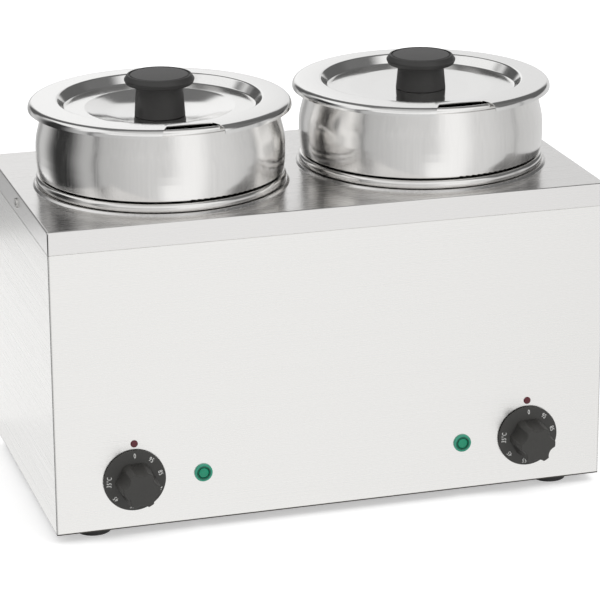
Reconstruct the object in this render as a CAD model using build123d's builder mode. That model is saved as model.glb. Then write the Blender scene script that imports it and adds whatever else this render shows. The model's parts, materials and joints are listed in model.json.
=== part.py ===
"""Counter-top bain marie with two round pots in one stainless casing.

Millimetres. +Z is up and +X runs to the right of someone who faces the front, which looks to -Y.
The origin lies on the surface that the feet stand on, under the middle of the whole object.
"""

import math
import os

from build123d import *

# Casing
casing_width = 500.0
casing_depth = 257.5
casing_height = 271.5
sheet = 1.0
bend_radius = 1.6
return_flange = 14.0
seam_gap = 0.5
lap_gap = 0.2
lap_height = 13.0
deck_flange = 20.0
corner_slit = 0.7

# Base and feet
foot_height = 9.0
foot_top_radius = 17.0
foot_bottom_radius = 15.5
foot_recess_depth = 5.0
foot_side_inset = 38.0
foot_front_inset = 27.0
base_inset = 3.0
vent_slot_length = 44.0
vent_slot_width = 5.0
vent_slot_pitch = 14.0
vent_slot_count = 5

# Wells
well_pitch = 241.0
well_offset_y = -3.0
well_inner_radius = 102.5
well_depth = 169.5
well_wall = 0.8
well_corner_radius = 14.0
bead_radius = 4.0
curl_turn = 290.0
ring_height = 2.0
ring_margin = 4.5
ring_land = 2.0
well_hole_clearance = 1.2
seat_gap = 0.1

# Pots
pot_wall = 0.8
pot_foot_clearance = 2.5
pot_neck_clearance = 0.5
pot_height = 210.0
pot_corner_radius = 18.0
pot_seat_gap = 0.3
shoulder_turn = 80.0
shoulder_edge_radius = 0.7
belly_low_radius = 79.2
belly_flat = 7.0
belly_high_radius = 59.2
belly_turn = 16.0
collar_radius = 74.8
rim_straight = 0.9
rim_radius = 3.0

# Lids
lid_sheet = 0.8
lid_seat_gap = 0.3
lid_overhang = 5.8
lid_lip_height = 6.5
lid_lip_radius = 6.0
lid_fall = 0.9
recess_margin = 13.7
recess_inset = 6.0
recess_depth = 8.2
recess_bend = 2.5
dish_inset = 18.0
dish_step = 0.9
dish_step_run = 3.0
dish_rise = 2.3
dish_bend = 20.0
knob_seat_radius = 24.0
notch_width = 57.0
notch_depth = 20.0
notch_corner_radius = 5.0
notch_turn = {"left": -1.3, "right": 3.4}

# Lid knobs
lid_knob_base_radius = 22.3
lid_knob_neck_radius = 20.7
lid_knob_head_radius = 31.1
lid_knob_head_height = 8.2
lid_knob_head_taper = 1.8
lid_knob_height = 26.3
lid_knob_cove = 5.0
lid_knob_disc_radius = 26.9
lid_knob_groove = 0.6
lid_knob_crown = 0.6
lid_knob_bore_depth = 15.0
lid_screw_head_radius = 6.0

# Front controls
control_x = 180.5
control_height = 43.0
knob_gap = 1.0
skirt_radius = 27.5
skirt_edge = 1.6
skirt_slope = 1.8
grip_base_radius = 20.4
grip_front_radius = 16.8
grip_height = 28.0
grip_lobes = 6
grip_hollow_depth = 2.7
grip_hollow_radius = 9.0
grip_edge_radius = 1.4
grip_wall = 2.6
shaft_radius = 3.0
shaft_flat = 0.8
shaft_clearance = 0.05
shaft_insert = 18.0
shaft_hole_radius = 5.0
lamp_x = 119.0
lamp_height = 42.5
lamp_bezel_radius = 8.0
lamp_bezel_height = 1.8
lamp_body_radius = 6.2
lamp_body_length = 24.0
lamp_lens_radius = 5.6
lamp_lens_height = 2.6
index_x = 180.0
index_height = 76.0
index_radius = 3.25
index_dome = 1.2
index_stem_radius = 1.5
index_stem_length = 4.0

# Thermostats and heaters
thermostat_size = 36.0
thermostat_thickness = 22.0
thermostat_bore_depth = 12.0
fixing_spacing = 28.0
fixing_head_height = 0.7
element_ring_radius = 62.0
element_radius = 4.0
element_sweep = 330.0
element_leg = 18.0
cold_end_radius = 3.2
clamp_radius = 76.0
clamp_thickness = 2.0
stud_radius = 4.0
stud_length = 22.0
cutout_radius = 8.5
cutout_height = 9.0
cutout_offset = 26.0
bulb_radius = 3.0
bulb_length = 76.0
bulb_offset = 22.0
bulb_clip_width = 10.0
capillary_radius = 1.0
capillary_bend = 6.0
capillary_lead = 8.0
capillary_drop = 28.0

# Mains connection
gland_height = 36.0
gland_bore_radius = 4.5
gland_thread_radius = 7.9
gland_hex = 22.0
gland_collar = 8.0
gland_reach = 19.0
gland_tail = 10.0
locknut_height = 4.0
terminal_width = 48.0
terminal_depth = 22.0
terminal_height = 18.0
terminal_poles = 5
terminal_back = 62.0
earth_x = 46.0

# Fasteners
m4_radius = 2.0
m4_head_radius = 3.9
m4_head_height = 2.2
m5_radius = 2.5
m5_head_radius = 4.6
m5_head_height = 3.0
side_screw_head_radius = 4.7
side_screw_head_height = 1.8
screw_length = 9.0
screw_clearance = 0.25
thread_gap = 0.05
nut_across = 8.0
nut_height = 4.0
stud_nut_across = 13.0
stud_nut_height = 6.0
slot_width = 1.1
slot_depth = 0.9
edge_round = 0.6

# Places worked out from the sizes above
centre_y = (knob_gap + grip_height - gland_reach) / 2
front_y = centre_y - casing_depth / 2
back_y = centre_y + casing_depth / 2
wrap_back_y = back_y - sheet - lap_gap
panel_bottom = foot_height + sheet
deck_top_z = panel_bottom + casing_height
seam_z = deck_top_z - deck_flange
panel_top_z = seam_z - seam_gap
well_y = centre_y + well_offset_y
hands = {"left": -1, "right": 1}
lap_inset = sheet + lap_gap

bead_centre_radius = well_inner_radius + bead_radius
bead_centre_z = deck_top_z + ring_height + seat_gap + bead_radius
well_floor_z = bead_centre_z + bead_radius - well_depth
well_under_z = well_floor_z - well_wall
ring_radius = bead_centre_radius + ring_margin
deck_hole_radius = well_inner_radius + well_wall + well_hole_clearance

element_z = well_under_z - seat_gap - element_radius
clamp_top_z = element_z - element_radius - seat_gap
clamp_under_z = clamp_top_z - clamp_thickness
bulb_z = well_under_z - seat_gap - bulb_radius
leg_turns = (0.0, element_sweep)

# The shoulder of a pot curves over the bead and comes nearest to it on the bead's inner side
shoulder_shift = (pot_neck_clearance - pot_seat_gap) / (1 - math.sqrt(0.5))
shoulder_radius = bead_radius + pot_seat_gap + shoulder_shift
shoulder_centre_radius = bead_centre_radius + shoulder_shift * math.sqrt(0.5)
shoulder_centre_z = bead_centre_z + shoulder_shift * math.sqrt(0.5)
pot_foot_radius = well_inner_radius - pot_foot_clearance - pot_wall

os.makedirs("parts", exist_ok=True)


def save(piece, name):
    """Label one finished piece and write it under its own name."""
    piece.label = name
    export_step(piece, f"parts/{name}.step")


def upright(x):
    """Plane of the half section of a round piece on the centre line of the well at x."""
    return Plane(origin=(x, well_y, 0), x_dir=(1, 0, 0), z_dir=(0, -1, 0))


def centre_line(x):
    """Vertical axis of the well at x."""
    return Axis((x, well_y, 0), (0, 0, 1))


def level(x, y, z):
    """Horizontal plane that looks up, with its origin at one point."""
    return Plane(origin=(x, y, z), x_dir=(1, 0, 0), z_dir=(0, 0, 1))


def underside(x, y, z):
    """Horizontal plane that looks down, with its origin at one point."""
    return Plane(origin=(x, y, z), x_dir=(1, 0, 0), z_dir=(0, 0, -1))


def front_plane(x, height, out=0.0):
    """Plane on the front panel that looks out of it, with its own Y up."""
    return Plane(origin=(x, front_y - out, panel_bottom + height), x_dir=(1, 0, 0), z_dir=(0, -1, 0))


def rear_plane(x, height, out=0.0):
    """Plane on the rear panel that looks out of it, with its own Y up."""
    return Plane(origin=(x, back_y + out, panel_bottom + height), x_dir=(-1, 0, 0), z_dir=(0, 1, 0))


def screws(planes, head_radius, head_height, shank_radius, length, slotted=False):
    """Round-headed screws, each with its head on the outside of its own plane."""
    with BuildPart() as group:
        with BuildSketch(*planes):
            Circle(head_radius)
        extrude(amount=head_height)
        fillet(group.faces().filter_by(GeomType.PLANE).edges().filter_by(
            lambda edge: is_outer_rim(edge, planes, head_height)), head_height * 0.6)
        with BuildSketch(*planes):
            Circle(shank_radius)
        extrude(amount=-length)
        if slotted:
            with BuildSketch(*[plane.offset(head_height) for plane in planes]):
                Rectangle(2 * head_radius, slot_width)
            extrude(amount=-slot_depth, mode=Mode.SUBTRACT)
    return group.part


def is_outer_rim(edge, planes, height):
    """True for an edge that lies on the outer face of one of the heads."""
    return any(abs(plane.to_local_coords(edge.center(CenterOf.BOUNDING_BOX)).Z - height) < edge_round / 6
               for plane in planes)


def nuts(planes, across, bore_radius, height):
    """Hexagon nuts, each standing on its own plane."""
    with BuildPart() as group:
        with BuildSketch(*planes):
            RegularPolygon(across / 2, 6, major_radius=False)
            Circle(bore_radius, mode=Mode.SUBTRACT)
        extrude(amount=height)
    return group.part


# Fastener places
foot_spots = [
    (x_hand * (casing_width / 2 - foot_side_inset), centre_y + y_hand * (casing_depth / 2 - foot_front_inset))
    for y_hand in (-1, 1) for x_hand in (-1, 1)
]
foot_names = ["foot_front_left", "foot_front_right", "foot_rear_left", "foot_rear_right"]
flange_middle = return_flange / 2 + sheet / 2
base_screw_spots = (
    [(x, front_y + flange_middle) for x in (-well_pitch / 2, well_pitch / 2)]
    + [(x, back_y - flange_middle) for x in (-well_pitch / 2, well_pitch / 2)]
    + [(hand * (casing_width / 2 - flange_middle), centre_y) for hand in hands.values()]
)
side_screw_z = deck_top_z - deck_flange / 2
rear_screw_x = casing_width / 2 - flange_middle
rear_screw_heights = [casing_height * share for share in (0.15, 0.5, 0.85)]


def wrap_section(inset, thickness):
    """Front and two sides of the folded wrap, seen from above, at one inset from its outer faces."""
    half = casing_width / 2 - inset
    near = front_y + inset
    with BuildSketch() as section:
        with BuildLine():
            FilletPolyline((-half, wrap_back_y), (-half, near), (half, near), (half, wrap_back_y),
                           radius=bend_radius)
            offset(amount=thickness, side=Side.LEFT)
        make_face()
    return section.sketch


with BuildPart() as casing_wrap:
    with BuildSketch(Plane.XY.offset(panel_bottom)):
        add(wrap_section(0, sheet))
    extrude(amount=panel_top_z - panel_bottom)
    with BuildSketch(Plane.XY.offset(panel_bottom)):
        add(wrap_section(0, return_flange))
    extrude(amount=sheet)
    # Joggle that carries the lap behind the deck flange
    with BuildSketch(Plane.XY.offset(panel_top_z)):
        add(wrap_section(0, lap_inset + sheet))
    extrude(amount=-sheet)
    with BuildSketch(Plane.XY.offset(panel_top_z - sheet)):
        add(wrap_section(lap_inset, sheet))
    extrude(amount=lap_height)
    # Rear return flanges
    with BuildSketch(Plane.XY.offset(panel_bottom)):
        for hand in hands.values():
            with Locations((hand * (casing_width - return_flange) / 2, wrap_back_y - sheet / 2)):
                Rectangle(return_flange, sheet)
    extrude(amount=panel_top_z - sheet - panel_bottom)
    # Holes for the controls
    with BuildSketch(*[front_plane(hand * control_x, control_height) for hand in hands.values()]):
        Circle(shaft_hole_radius)
        with GridLocations(fixing_spacing, 0, 2, 1):
            Circle(m4_radius + screw_clearance)
    extrude(amount=-2 * sheet, mode=Mode.SUBTRACT)
    with BuildSketch(*[front_plane(hand * lamp_x, lamp_height) for hand in hands.values()]):
        Circle(lamp_body_radius + screw_clearance)
    extrude(amount=-2 * sheet, mode=Mode.SUBTRACT)
    with BuildSketch(*[front_plane(hand * index_x, index_height) for hand in hands.values()]):
        Circle(index_stem_radius + thread_gap)
    extrude(amount=-2 * sheet, mode=Mode.SUBTRACT)
    # Holes for the base screws, rear screws and deck screws
    with BuildSketch(*[underside(x, y, panel_bottom) for x, y in base_screw_spots]):
        Circle(m4_radius + thread_gap)
    extrude(amount=-2 * sheet, mode=Mode.SUBTRACT)
    with BuildSketch(*[rear_plane(hand * rear_screw_x, height)
                       for hand in hands.values() for height in rear_screw_heights]):
        Circle(m4_radius + thread_gap)
    extrude(amount=-4 * sheet, mode=Mode.SUBTRACT)
    with BuildSketch(Plane(origin=(0, centre_y, side_screw_z), z_dir=(1, 0, 0))):
        Circle(m4_radius + thread_gap)
    extrude(amount=casing_width, both=True, mode=Mode.SUBTRACT)
save(casing_wrap.part, "casing_wrap")

with BuildPart() as rear_panel:
    rear_width = casing_width - 2 * lap_gap
    inner_width = casing_width - 2 * (return_flange + lap_gap)
    with BuildSketch(Plane.XY.offset(panel_bottom)):
        with Locations((0, back_y)):
            Rectangle(rear_width, sheet, align=(Align.CENTER, Align.MAX))
    extrude(amount=panel_top_z - panel_bottom)
    with BuildSketch(Plane.XY.offset(panel_bottom)):
        with Locations((0, back_y)):
            Rectangle(inner_width, return_flange, align=(Align.CENTER, Align.MAX))
    extrude(amount=sheet)
    with BuildSketch(Plane.XY.offset(panel_top_z)):
        with Locations((0, back_y)):
            Rectangle(inner_width, lap_inset + sheet, align=(Align.CENTER, Align.MAX))
    extrude(amount=-sheet)
    with BuildSketch(Plane.XY.offset(panel_top_z - sheet)):
        with Locations((0, back_y - lap_inset)):
            Rectangle(inner_width, sheet, align=(Align.CENTER, Align.MAX))
    extrude(amount=lap_height)
    with BuildSketch(rear_plane(0, gland_height)):
        Circle(gland_thread_radius + screw_clearance)
    extrude(amount=-2 * sheet, mode=Mode.SUBTRACT)
    with BuildSketch(*[rear_plane(hand * rear_screw_x, height)
                       for hand in hands.values() for height in rear_screw_heights]):
        Circle(m4_radius + screw_clearance)
    extrude(amount=-sheet, mode=Mode.SUBTRACT)
    with BuildSketch(*[underside(x, y, panel_bottom) for x, y in base_screw_spots]):
        Circle(m4_radius + thread_gap)
    extrude(amount=-2 * sheet, mode=Mode.SUBTRACT)
save(rear_panel.part, "rear_panel")

with BuildPart() as deck:
    with BuildSketch(Plane.XY.offset(seam_z)):
        with Locations((0, centre_y)):
            Rectangle(casing_width, casing_depth)
    extrude(amount=deck_flange)
    fillet(deck.edges().filter_by(Axis.Z), bend_radius)
    fillet(deck.faces().sort_by(Axis.Z)[-1].edges(), bend_radius)
    offset(amount=-sheet, openings=deck.faces().sort_by(Axis.Z)[0])
    # Slits where the flanges meet at the corners
    with BuildSketch(Plane.XY.offset(seam_z)):
        for x_hand in (-1, 1):
            for y_hand in (-1, 1):
                corner = (x_hand * casing_width / 2, centre_y + y_hand * casing_depth / 2)
                with Locations(Location(corner, -45 * x_hand * y_hand)):
                    Rectangle(corner_slit, 6 * sheet)
    extrude(amount=deck_flange - bend_radius, mode=Mode.SUBTRACT)
    with BuildSketch(Plane(origin=(0, centre_y, side_screw_z), z_dir=(1, 0, 0))):
        Circle(m4_radius + screw_clearance)
    extrude(amount=casing_width, both=True, mode=Mode.SUBTRACT)
    # Pressed ring round each well
    ring_outer_radius = ring_radius + ring_height + ring_land
    for hand in hands.values():
        x = hand * well_pitch / 2
        with BuildSketch(level(x, well_y, deck_top_z)):
            Circle(ring_outer_radius)
        extrude(amount=-2 * sheet, mode=Mode.SUBTRACT)
        with BuildSketch(upright(x)):
            with BuildLine():
                FilletPolyline(
                    (deck_hole_radius, deck_top_z + ring_height),
                    (ring_radius, deck_top_z + ring_height),
                    (ring_radius + ring_height, deck_top_z),
                    (ring_outer_radius, deck_top_z),
                    radius=sheet,
                )
                offset(amount=sheet, side=Side.RIGHT)
            make_face()
        revolve(axis=centre_line(x))
save(deck.part, "deck_top")

with BuildPart() as base_plate:
    with BuildSketch(Plane.XY.offset(foot_height)):
        with Locations((0, centre_y)):
            Rectangle(casing_width - 2 * base_inset, casing_depth - 2 * base_inset)
    extrude(amount=sheet - thread_gap)
    fillet(base_plate.edges().filter_by(Axis.Z), bend_radius)
    with BuildSketch(Plane.XY.offset(foot_height)):
        for hand in hands.values():
            with Locations((hand * well_pitch / 2, centre_y)):
                with GridLocations(0, vent_slot_pitch, 1, vent_slot_count):
                    SlotOverall(vent_slot_length, vent_slot_width)
        with Locations(*base_screw_spots):
            Circle(m4_radius + screw_clearance)
        with Locations(*foot_spots):
            Circle(m5_radius + screw_clearance)
    extrude(amount=sheet, mode=Mode.SUBTRACT)
save(base_plate.part, "base_plate")

for name, (x, y) in zip(foot_names, foot_spots):
    with BuildPart() as foot:
        with BuildSketch(Plane(origin=(x, y, 0), x_dir=(1, 0, 0), z_dir=(0, -1, 0))):
            with BuildLine():
                Polyline((0, 0), (foot_bottom_radius, 0), (foot_top_radius, foot_height),
                         (0, foot_height), close=True)
            make_face()
        revolve(axis=Axis((x, y, 0), (0, 0, 1)))
        fillet(foot.faces().sort_by(Axis.Z)[0].edges(), edge_round)
        with BuildSketch(level(x, y, 0)):
            Circle(m5_head_radius + edge_round)
        extrude(amount=foot_recess_depth, mode=Mode.SUBTRACT)
        with BuildSketch(level(x, y, 0)):
            Circle(m5_radius + screw_clearance)
        extrude(amount=foot_height, mode=Mode.SUBTRACT)
    save(foot.part, name)

foot_screw_length = panel_bottom + nut_height + sheet - foot_recess_depth
save(screws([underside(x, y, foot_recess_depth) for x, y in foot_spots],
            m5_head_radius, m5_head_height, m5_radius, foot_screw_length), "foot_screws")
save(nuts([level(x, y, panel_bottom) for x, y in foot_spots],
          nut_across, m5_radius + thread_gap, nut_height), "foot_nuts")
save(screws([underside(x, y, foot_height) for x, y in base_screw_spots],
            m4_head_radius, m4_head_height, m4_radius, screw_length), "base_screws")
save(screws([rear_plane(hand * rear_screw_x, height)
             for hand in hands.values() for height in rear_screw_heights],
            m4_head_radius, m4_head_height, m4_radius, screw_length), "rear_screws")
save(screws([Plane(origin=(hand * casing_width / 2, centre_y, side_screw_z), x_dir=(0, 1, 0),
                   z_dir=(hand, 0, 0)) for hand in hands.values()],
            side_screw_head_radius, side_screw_head_height, m4_radius, screw_length, slotted=True),
     "deck_side_screws")


def make_well(x):
    """Drawn bowl with a rolled bead that rests on the deck, and a weld stud under its floor."""
    with BuildPart() as well:
        with BuildSketch(upright(x)):
            with BuildLine():
                floor = Line((0, well_floor_z), (well_inner_radius - well_corner_radius, well_floor_z))
                corner = JernArc(floor @ 1, floor % 1, well_corner_radius, 90)
                side = Line(corner @ 1, (well_inner_radius, bead_centre_z))
                JernArc(side @ 1, side % 1, bead_radius, -curl_turn)
                offset(amount=well_wall, side=Side.RIGHT)
            make_face()
        revolve(axis=centre_line(x))
        with BuildSketch(underside(x, well_y, well_under_z)):
            Circle(stud_radius)
        extrude(amount=stud_length)
    return well.part


def make_element(x):
    """Sheathed heating element bent to an open ring, with a cold end turned down at each end."""
    with BuildPart() as element:
        with Locations(level(x, well_y, element_z)):
            Torus(element_ring_radius, element_radius, major_angle=element_sweep)
        with Locations(*[level(x, well_y, element_z).rotated((0, 0, turn)) for turn in leg_turns]):
            with Locations((element_ring_radius, 0)):
                Cylinder(cold_end_radius, element_leg, align=(Align.CENTER, Align.CENTER, Align.MAX))
    return element.part


def make_clamp_plate(x, hand):
    """Round plate that presses the element to the well, open for its ends and the capillary."""
    with BuildPart() as plate:
        with BuildSketch(underside(x, well_y, clamp_top_z)):
            Circle(clamp_radius)
            Circle(stud_radius + screw_clearance, mode=Mode.SUBTRACT)
        extrude(amount=clamp_thickness)
        with BuildSketch(level(x, well_y, clamp_under_z)):
            with PolarLocations(element_ring_radius, 1, 0):
                Circle(element_radius + sheet)
            with PolarLocations(element_ring_radius, 1, element_sweep):
                Circle(element_radius + sheet)
            with Locations((hand * (bulb_length / 2 + capillary_lead), bulb_offset)):
                Circle(bulb_radius)
        extrude(amount=clamp_thickness, mode=Mode.SUBTRACT)
    return plate.part


def make_cutout(x, hand):
    """Overheat cut-out against the clamp plate, with two blade terminals."""
    spot = (x - hand * cutout_offset, well_y - cutout_offset)
    with BuildPart() as cutout:
        with BuildSketch(underside(*spot, clamp_under_z)):
            Circle(cutout_radius)
        extrude(amount=cutout_height)
        fillet(cutout.faces().sort_by(Axis.Z)[0].edges(), edge_round)
        with BuildSketch(underside(*spot, clamp_under_z - cutout_height)):
            with GridLocations(cutout_radius, 0, 2, 1):
                Rectangle(sheet, cutout_radius / 2)
        extrude(amount=cutout_height)
    return cutout.part


def make_capillary(x, hand):
    """Sensing bulb under the well floor and the fine tube that runs from it to the thermostat."""
    bulb_end = x + hand * bulb_length / 2
    lead_x = bulb_end + hand * capillary_lead
    run_z = clamp_under_z - capillary_drop
    tube_y = front_y + sheet + thermostat_thickness / 2
    route = [
        (bulb_end, well_y + bulb_offset, bulb_z),
        (lead_x, well_y + bulb_offset, bulb_z),
        (lead_x, well_y + bulb_offset, run_z),
        (hand * control_x, tube_y, run_z),
        (hand * control_x, tube_y, panel_bottom + control_height + thermostat_size / 2),
    ]
    with BuildPart() as capillary:
        with BuildLine() as tube:
            FilletPolyline(*route, radius=capillary_bend)
        with BuildSketch(Plane(origin=route[0], z_dir=(hand, 0, 0))):
            Circle(capillary_radius)
        sweep(path=tube.wires()[0])
        with BuildSketch(Plane(origin=route[0], z_dir=(-hand, 0, 0))):
            Circle(bulb_radius)
        extrude(amount=bulb_length)
        fillet(capillary.edges().filter_by(GeomType.CIRCLE).filter_by(
            lambda edge: abs(edge.radius - bulb_radius) < edge_round / 6), edge_round)
    return capillary.part


with BuildPart() as bulb_clips:
    clip_height = bulb_z - clamp_top_z
    for hand in hands.values():
        clip_spot = (hand * well_pitch / 2, well_y + bulb_offset)
        with BuildSketch(level(*clip_spot, clamp_top_z)):
            Rectangle(bulb_clip_width, 2 * bulb_radius + 4 * sheet)
        extrude(amount=clip_height)
        with BuildSketch(Plane(origin=(*clip_spot, bulb_z), z_dir=(1, 0, 0))):
            Circle(bulb_radius + thread_gap)
        extrude(amount=bulb_clip_width, both=True, mode=Mode.SUBTRACT)
save(bulb_clips.part, "bulb_clips")


def make_thermostat(x):
    """Switch body behind the front panel, with a bore for its shaft and blade terminals."""
    with BuildPart() as body:
        with BuildSketch(front_plane(x, control_height, -sheet - seat_gap)):
            RectangleRounded(thermostat_size, thermostat_size, 3 * edge_round)
        extrude(amount=-thermostat_thickness)
        with BuildSketch(front_plane(x, control_height, -sheet - seat_gap)):
            Circle(shaft_radius + shaft_clearance)
        extrude(amount=-thermostat_bore_depth, mode=Mode.SUBTRACT)
        with BuildSketch(front_plane(x, control_height, -sheet - seat_gap)):
            with GridLocations(fixing_spacing, 0, 2, 1):
                Circle(m4_radius + thread_gap)
        extrude(amount=-thermostat_bore_depth, mode=Mode.SUBTRACT)
        with BuildSketch(front_plane(x, control_height, -sheet - seat_gap - thermostat_thickness)):
            with GridLocations(thermostat_size / 2, 0, 2, 1):
                Rectangle(sheet, cutout_radius / 2)
        extrude(amount=-cutout_height)
    return body.part


def shaft_section(clearance):
    """Round shaft section with one flat."""
    with BuildSketch() as section:
        Circle(shaft_radius + clearance)
        with Locations((0, shaft_radius - shaft_flat + clearance)):
            Rectangle(4 * shaft_radius, 2 * shaft_radius, align=(Align.CENTER, Align.MIN),
                      mode=Mode.SUBTRACT)
    return section.sketch


def make_shaft(x):
    """Turning shaft from the thermostat into the knob, flat on its outer length."""
    inner = -sheet - seat_gap - thermostat_bore_depth + screw_clearance
    with BuildPart() as shaft:
        with BuildSketch(front_plane(x, control_height, inner)):
            Circle(shaft_radius)
        extrude(amount=knob_gap - inner)
        with BuildSketch(front_plane(x, control_height, knob_gap)):
            add(shaft_section(0))
        extrude(amount=shaft_insert - screw_clearance)
    return shaft.part


def scalloped(radius):
    """Grip outline at one height: lobes with a hollow between each two."""
    with BuildSketch() as outline:
        Circle(radius)
        with PolarLocations(radius - grip_hollow_depth + grip_hollow_radius, grip_lobes, 90):
            Circle(grip_hollow_radius, mode=Mode.SUBTRACT)
        fillet(outline.vertices(), grip_edge_radius)
    return outline.sketch


def make_control_knob(x):
    """Moulded knob: thin skirt for the scale, tapered scalloped grip, hollow round its shaft boss."""
    base = front_plane(x, control_height, knob_gap)
    skirt_top = skirt_edge + skirt_slope
    hollow_front = grip_height - grip_wall
    with BuildPart() as knob:
        with BuildSketch(base):
            Circle(skirt_radius)
        extrude(amount=skirt_edge)
        with BuildSketch(base.offset(skirt_edge)):
            Circle(skirt_radius)
        with BuildSketch(base.offset(skirt_top)):
            Circle(grip_base_radius)
        loft()
        fillet(knob.edges().filter_by(GeomType.CIRCLE).filter_by(
            lambda edge: abs(edge.radius - skirt_radius) < edge_round / 6), edge_round / 2)
        with BuildSketch(base.offset(skirt_edge)):
            add(scalloped(grip_base_radius))
        with BuildSketch(base.offset(grip_height)):
            add(scalloped(grip_front_radius))
        loft()
        fillet(knob.faces().sort_by(Axis.Y)[0].edges(), grip_edge_radius)
        # Hollow round the boss, seen only from behind
        with BuildSketch(base):
            Circle(grip_base_radius - grip_hollow_depth - grip_wall)
        with BuildSketch(base.offset(hollow_front)):
            Circle(grip_front_radius - grip_hollow_depth - grip_wall)
        loft(mode=Mode.SUBTRACT)
        with BuildSketch(base):
            Circle(2 * shaft_radius)
        extrude(amount=hollow_front)
        with BuildSketch(base):
            add(shaft_section(shaft_clearance))
        extrude(amount=shaft_insert, mode=Mode.SUBTRACT)
    return knob.part


def make_lamp_body(x):
    """Snap-in lamp housing with its bezel on the panel and its terminals behind."""
    with BuildPart() as body:
        with BuildSketch(front_plane(x, lamp_height)):
            Circle(lamp_bezel_radius)
        extrude(amount=lamp_bezel_height)
        fillet(body.faces().sort_by(Axis.Y)[0].edges(), edge_round)
        with BuildSketch(front_plane(x, lamp_height)):
            Circle(lamp_body_radius)
        extrude(amount=-lamp_body_length)
        with BuildSketch(front_plane(x, lamp_height, lamp_bezel_height)):
            Circle(lamp_lens_radius + thread_gap)
        extrude(amount=-2 * lamp_bezel_height, mode=Mode.SUBTRACT)
        with BuildSketch(front_plane(x, lamp_height, -lamp_body_length)):
            with GridLocations(lamp_body_radius, 0, 2, 1):
                Rectangle(sheet, lamp_body_radius / 2)
        extrude(amount=-lamp_body_radius)
    return body.part


def make_lamp_lens(x):
    """Domed lens in the bezel."""
    with BuildPart() as lens:
        with BuildSketch(front_plane(x, lamp_height, lamp_lens_height)):
            Circle(lamp_lens_radius)
        extrude(amount=seat_gap - lamp_lens_height - lamp_bezel_height)
        fillet(lens.faces().sort_by(Axis.Y)[0].edges(), 2 * edge_round)
    return lens.part


def make_index_dot(x):
    """Domed marker pressed into the panel over the knob."""
    with BuildPart() as dot:
        with BuildSketch(front_plane(x, index_height)):
            Circle(index_radius)
        extrude(amount=index_dome)
        fillet(dot.faces().sort_by(Axis.Y)[0].edges(), index_dome * 0.9)
        with BuildSketch(front_plane(x, index_height)):
            Circle(index_stem_radius)
        extrude(amount=-index_stem_length)
    return dot.part


for side_name, hand in hands.items():
    well_x = hand * well_pitch / 2
    save(make_well(well_x), f"well_{side_name}")
    save(make_element(well_x), f"heating_element_{side_name}")
    save(make_clamp_plate(well_x, hand), f"clamp_plate_{side_name}")
    save(make_cutout(well_x, hand), f"overheat_cutout_{side_name}")
    save(make_capillary(well_x, hand), f"capillary_{side_name}")
    save(make_thermostat(hand * control_x), f"thermostat_{side_name}")
    save(make_shaft(hand * control_x), f"thermostat_shaft_{side_name}")
    save(make_control_knob(hand * control_x), f"control_knob_{side_name}")
    save(make_lamp_body(hand * lamp_x), f"pilot_lamp_body_{side_name}")
    save(make_lamp_lens(hand * lamp_x), f"pilot_lamp_lens_{side_name}")
    save(make_index_dot(hand * index_x), f"index_dot_{side_name}")

save(nuts([underside(hand * well_pitch / 2, well_y, clamp_under_z) for hand in hands.values()],
          stud_nut_across, stud_radius + thread_gap, stud_nut_height), "clamp_nuts")
save(screws([front_plane(hand * control_x + end * fixing_spacing / 2, control_height)
             for hand in hands.values() for end in (-1, 1)],
            m4_head_radius, fixing_head_height, m4_radius, screw_length), "thermostat_screws")
save(nuts([front_plane(hand * lamp_x, lamp_height, -sheet - seat_gap - locknut_height)
           for hand in hands.values()],
          2 * lamp_bezel_radius, lamp_body_radius + thread_gap, locknut_height), "pilot_lamp_nuts")

with BuildPart() as gland:
    with BuildSketch(rear_plane(0, gland_height)):
        RegularPolygon(gland_hex / 2, 6, major_radius=False)
    extrude(amount=gland_collar)
    with BuildSketch(rear_plane(0, gland_height, gland_collar)):
        Circle(gland_hex / 2 - edge_round)
    with BuildSketch(rear_plane(0, gland_height, gland_reach)):
        Circle(gland_thread_radius - edge_round)
    loft()
    with BuildSketch(rear_plane(0, gland_height)):
        Circle(gland_thread_radius)
    extrude(amount=-gland_tail)
    with BuildSketch(rear_plane(0, gland_height, gland_reach)):
        Circle(gland_bore_radius)
    extrude(amount=-gland_reach - gland_tail, mode=Mode.SUBTRACT)
save(gland.part, "cable_gland")
save(nuts([rear_plane(0, gland_height, -sheet - seat_gap - locknut_height)],
          gland_hex, gland_thread_radius + thread_gap, locknut_height), "gland_locknut")

terminal_y = back_y - terminal_back
with BuildPart() as terminal_block:
    with BuildSketch(level(0, terminal_y, panel_bottom)):
        Rectangle(terminal_width, terminal_depth)
    extrude(amount=terminal_height)
    pole_pitch = terminal_width / (terminal_poles + 1)
    with BuildSketch(level(0, terminal_y, panel_bottom + terminal_height)):
        with GridLocations(pole_pitch, terminal_depth / 2, terminal_poles, 2):
            Circle(m4_radius)
    extrude(amount=-terminal_height / 3, mode=Mode.SUBTRACT)
    with BuildSketch(level(0, terminal_y, panel_bottom)):
        with GridLocations(terminal_width - m4_head_radius, 0, 2, 1):
            Circle(m4_radius / 2 + thread_gap)
    extrude(amount=terminal_height, mode=Mode.SUBTRACT)
save(terminal_block.part, "terminal_block")
save(screws([level(hand * (terminal_width - m4_head_radius) / 2, terminal_y,
                   panel_bottom + terminal_height) for hand in hands.values()],
            m4_radius, m4_radius, m4_radius / 2, terminal_height), "terminal_block_screws")
save(screws([level(earth_x, terminal_y, panel_bottom + nut_height)],
            m4_head_radius, m4_head_height, m4_radius, nut_height), "earth_screw")
save(nuts([level(earth_x, terminal_y, panel_bottom)],
          nut_across, m4_radius + thread_gap, nut_height), "earth_nut")

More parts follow.
